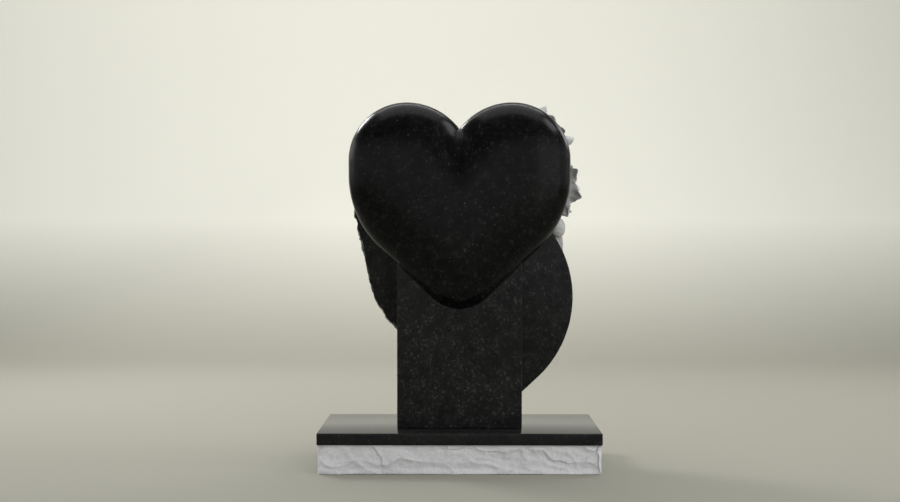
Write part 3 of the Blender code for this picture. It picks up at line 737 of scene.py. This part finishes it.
def bud(bm, root, tip, width):
    """An egg-shaped bud: wrapped petals drawn as a spiral groove, and a pointed end."""
    along = tip - root
    turn = along.to_track_quat("Z", "Y").to_matrix().to_4x4()
    place = Matrix.Translation((root + tip) / 2) @ turn
    rings = []
    for v in np.linspace(0.0, math.pi, BUD_RINGS)[1:-1]:
        ring = []
        for u in np.linspace(0.0, math.tau, BUD_COLUMNS, endpoint=False):
            wrap = (u / math.tau * BUD_WRAPS + v * 0.55) % 1.0
            size = 1 - 0.10 * eased((wrap - 0.82) / 0.18) * math.sin(v)
            flat = math.sin(v) * (1 + 0.12 * math.cos(v))
            spot = Vector((flat * math.cos(u) * size, flat * math.sin(u) * size, -math.cos(v)))
            sized = Vector((spot.x * width / 2, spot.y * width / 2, spot.z * along.length / 2))
            ring.append(bm.verts.new(place @ sized))
        rings.append(ring)
    join_rings(bm, rings)
    for end, ring in ((-1, rings[0]), (1, rings[-1])):
        pole = bm.verts.new(place @ Vector((0, 0, end * along.length / 2)))
        for i, vert in enumerate(ring):
            bm.faces.new((vert, ring[(i + 1) % len(ring)], pole))


def stem(bm, points, radius):
    """A round stem through a few points, with knuckles where it bends."""
    for a, b in zip(points, points[1:]):
        along = b - a
        rod = Matrix.Translation((a + b) / 2) @ along.to_track_quat("Z", "Y").to_matrix().to_4x4()
        bmesh.ops.create_cone(bm, cap_ends=True, segments=28, radius1=radius, radius2=radius,
                              depth=along.length, matrix=rod)
    for point in points:
        spot = Matrix.Translation(point)
        bmesh.ops.create_icosphere(bm, subdivisions=3, radius=radius * KNUCKLE, matrix=spot)


def spray_bmesh():
    """The whole spray as overlapping closed forms, which a remesh then fuses into one skin."""
    bm = bmesh.new()
    tree = petal_ring_tree()
    unit = LEAF_LENGTH
    rose(bm, tree, rose_frame(on_heart(0.51, -0.71, 0.14), 24, 4), 0.85 * unit, 8, 0.24, 11, 3)
    rose(bm, tree, rose_frame(on_heart(0.79, 0.78, 0.16), 18, 22), 0.66 * unit, 5, 0.38, 24, 11)
    rose(bm, tree, rose_frame(on_tablet(1.51, -1.49, 0.20), 2, -8), 0.58 * unit, 6, 0.24, 10, 5)
    # Each leaf: root, tip, width and bow.
    leaves = [
        (on_heart(0.69, -1.09, 0.20), on_heart(-0.14, -1.37, 0.26), 0.50, 0.04),
        (on_heart(0.84, 1.21, 0.12), on_heart(0.58, 1.57, 0.20), 0.36, 0.03),
        (on_heart(0.99, 1.01, 0.10), on_heart(1.73, 1.47, 0.12), 0.52, 0.08),
        (on_heart(0.99, 0.41, 0.12), on_heart(1.89, 0.53, 0.14), 0.54, 0.10),
        (on_heart(1.09, 0.01, 0.14), on_heart(2.03, -0.27, 0.12), 0.56, 0.10),
        (on_heart(0.54, -1.64, 0.40), on_heart(0.11, -2.59, 0.30), 0.40, 0.06),
        (on_heart(0.29, 0.56, 0.16), on_heart(-0.19, 0.69, 0.14), 0.26, 0.02),
        (on_heart(0.36, -0.12, 0.10), on_heart(-0.16, -0.27, 0.06), 0.16, 0.02),
        (on_tablet(1.39, -1.84, 0.14), on_tablet(0.94, -2.79, 0.12), 0.54, 0.08),
        (on_tablet(1.69, -1.74, 0.14), on_tablet(2.49, -2.39, 0.10), 0.52, 0.08),
        (on_tablet(1.79, -1.34, 0.14), on_tablet(2.59, -0.99, 0.06), 0.50, 0.08),
    ]
    face = Vector((-0.25, -1.0, 0.1)).normalized()
    for root, tip, width, bow in leaves:
        leaf(bm, root, tip, width * unit, face, bow * unit)
    bud(bm, on_heart(0.37, -1.53, 0.22), on_heart(0.19, -2.07, 0.24), 0.48 * unit)
    bud(bm, on_heart(1.21, 1.01, 0.20), on_heart(1.39, 1.47, 0.22), 0.34 * unit)
    bud(bm, on_heart(0.11, 0.53, 0.18), on_heart(-0.17, 0.67, 0.18), 0.24 * unit)
    trunk = [(0.31, -1.74), (0.54, -1.09), (0.63, -0.29), (0.75, 0.51), (1.09, 1.21)]
    fork, elbow = on_heart(0.64, -0.99, STEM_DEPTH), on_tablet(1.09, -1.09, -STEM_DEPTH)
    stem(bm, [on_heart(inset, up, STEM_DEPTH) for inset, up in trunk], 0.16 * unit)
    stem(bm, [fork, elbow, on_tablet(1.49, -1.49, 0.18)], 0.18 * unit)
    stem(bm, [on_heart(0.71, 0.51, STEM_DEPTH), on_heart(0.13, 0.53, STEM_DEPTH)], 0.10 * unit)
    bmesh.ops.recalc_face_normals(bm, faces=bm.faces)
    return bm


sanded_granite = pale_granite(
    "sanded grey granite", (0.62, 0.62, 0.61), (0.48, 0.48, 0.475), (0.22, 0.22, 0.22), 0.0016, 0.82, 0.40)
rose_spray = finish("carved_rose_spray", spray_bmesh(), [sanded_granite])
fuse = rose_spray.modifiers.new("Fuse", "REMESH")
fuse.mode = "VOXEL"
fuse.voxel_size = SPRAY_VOXEL
fuse.use_smooth_shade = True
settled(rose_spray)
rose_spray.data.materials.clear()
rose_spray.data.materials.append(sanded_granite)
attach(rose_spray, "root")
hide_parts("rose_spray")


# Studio: a pale seamless floor that curves up into a backdrop, under soft light from large panels.
# Two of the panels light the stone without showing in its polish. The camera looks at the back.
PITCH, FOCAL_PIXELS, OFF_CENTRE_PIXELS = math.radians(1.0), 1250, 9.5


def studio_sweep(width, near, far, height, radius):
    """A floor that sweeps up into a wall behind the stone as the camera sees it."""
    line = [(near, 0.0), (far + radius, 0.0)]
    line += [(far + radius - radius * math.sin(a), radius - radius * math.cos(a))
             for a in np.linspace(0.0, math.pi / 2, 24)[1:]]
    line.append((far, height))
    bm = bmesh.new()
    left = [bm.verts.new((-width, y, z)) for y, z in line]
    right = [bm.verts.new((width, y, z)) for y, z in line]
    for i in range(len(line) - 1):
        bm.faces.new((left[i], left[i + 1], right[i + 1], right[i]))
    return bm


paper, paper_shader, paper_place = new_stone("pale studio paper")
paper_rise = add(paper, "ShaderNodeSeparateXYZ", {"Vector": paper_place}).outputs["Z"]
wire(paper, colours(paper, graded(paper, paper_rise, 0.0, 0.7, 0.0, 1.0), [
    (0.0, (0.27, 0.265, 0.225)), (1.0, (0.62, 0.615, 0.55))]), paper_shader, "Base Color")
paper_shader.inputs["Roughness"].default_value = 0.9
paper_shader.inputs["Specular IOR Level"].default_value = 0.1
sweep = finish("studio_sweep", studio_sweep(9.0, 9.0, -5.0, 7.0, 2.5), [paper])


def panel(name, place, aim, size, power, spread=180.0, glossy=True):
    """A soft rectangular light that faces a point, its spread in degrees. Not glossy, no polish shows it."""
    light = bpy.data.lights.new(name, "AREA")
    light.shape = "RECTANGLE"
    light.size, light.size_y = size
    light.energy = power
    light.spread = math.radians(spread)
    holder = bpy.data.objects.new(name, light)
    holder.location = place
    holder.rotation_euler = (Vector(aim) - Vector(place)).to_track_quat("-Z", "Y").to_euler()
    holder.visible_glossy = glossy
    bpy.context.scene.collection.objects.link(holder)


heart_centre = (0.0, 0.05, 0.7)


def towards(direction, distance):
    """A place at a distance from the heart, out along a direction."""
    return Vector(heart_centre) + Vector(direction).normalized() * distance


panel("left rim panel", towards((0.60, -0.55, 0.55), 3.2), heart_centre, (0.8, 0.8), 50)
panel("left side panel", towards((0.94, -0.34, 0.26), 3.6), heart_centre, (2.2, 1.0), 12)
panel("right panel", towards((-0.72, 0.06, 0.69), 3.3), heart_centre, (1.2, 0.9), 20)
panel("right front panel", towards((-0.74, 0.64, 0.15), 3.6), heart_centre, (2.8, 2.6), 17)
panel("key panel", towards((-0.33, 0.95, 0.08), 5.0), heart_centre, (0.6, 0.6), 32, glossy=False)
panel("relief panel", towards((-0.45, 0.80, 0.50), 5.0), heart_centre, (0.8, 0.8), 26, glossy=False)
panel("right rim panel", towards((-0.72, -0.52, 0.40), 3.2), heart_centre, (1.0, 1.0), 14)
panel("front floor panel", (0.0, 6.0, 4.5), (0.0, 6.0, 0.0), (7.0, 4.0), 125, 100.0)
panel("overhead panel", (0.0, -0.15, 3.8), (0.0, -0.15, 0.0), (4.0, 3.3), 80)
panel("wall panel", (0.9, -2.0, 4.4), (0.9, -4.8, 0.9), (7.0, 0.8), 165)

world = bpy.data.worlds.new("studio")
world.use_nodes = True
sky = world.node_tree
direction = sky.nodes.new("ShaderNodeTexCoord")
rise = sky.nodes.new("ShaderNodeSeparateXYZ")
fade = sky.nodes.new("ShaderNodeValToRGB")
sky.links.new(direction.outputs["Generated"], rise.inputs[0])
sky.links.new(rise.outputs["Z"], fade.inputs["Fac"])
sky.links.new(fade.outputs["Color"], sky.nodes["Background"].inputs["Color"])
# What the polish mirrors: bright near the horizon, dark above it, and a little lighter overhead.
for place, tone in ((0.20, (0.92, 0.92, 0.91)), (0.33, (0.60,) * 3), (0.44, (0.09,) * 3),
                    (0.66, (0.12,) * 3), (0.88, (0.30,) * 3)):
    element = fade.color_ramp.elements.new(place)
    element.color = (*tone, 1.0)
fade.color_ramp.elements[0].color = (0.78, 0.78, 0.77, 1.0)
fade.color_ramp.elements[-1].color = (0.36, 0.36, 0.36, 1.0)
bpy.context.scene.world = world
bpy.context.scene.view_settings.view_transform = "Standard"

camera_data = bpy.data.cameras.new("camera")
camera_data.lens = 50.0
camera_data.sensor_width = 36.0
camera = bpy.data.objects.new("camera", camera_data)
camera.location = (0.0, 3.437, 0.6425)
yaw = math.atan(OFF_CENTRE_PIXELS / FOCAL_PIXELS)
camera.rotation_euler = (math.pi / 2 - PITCH, 0.0, math.pi + yaw)
bpy.context.scene.collection.objects.link(camera)
bpy.context.scene.camera = camera
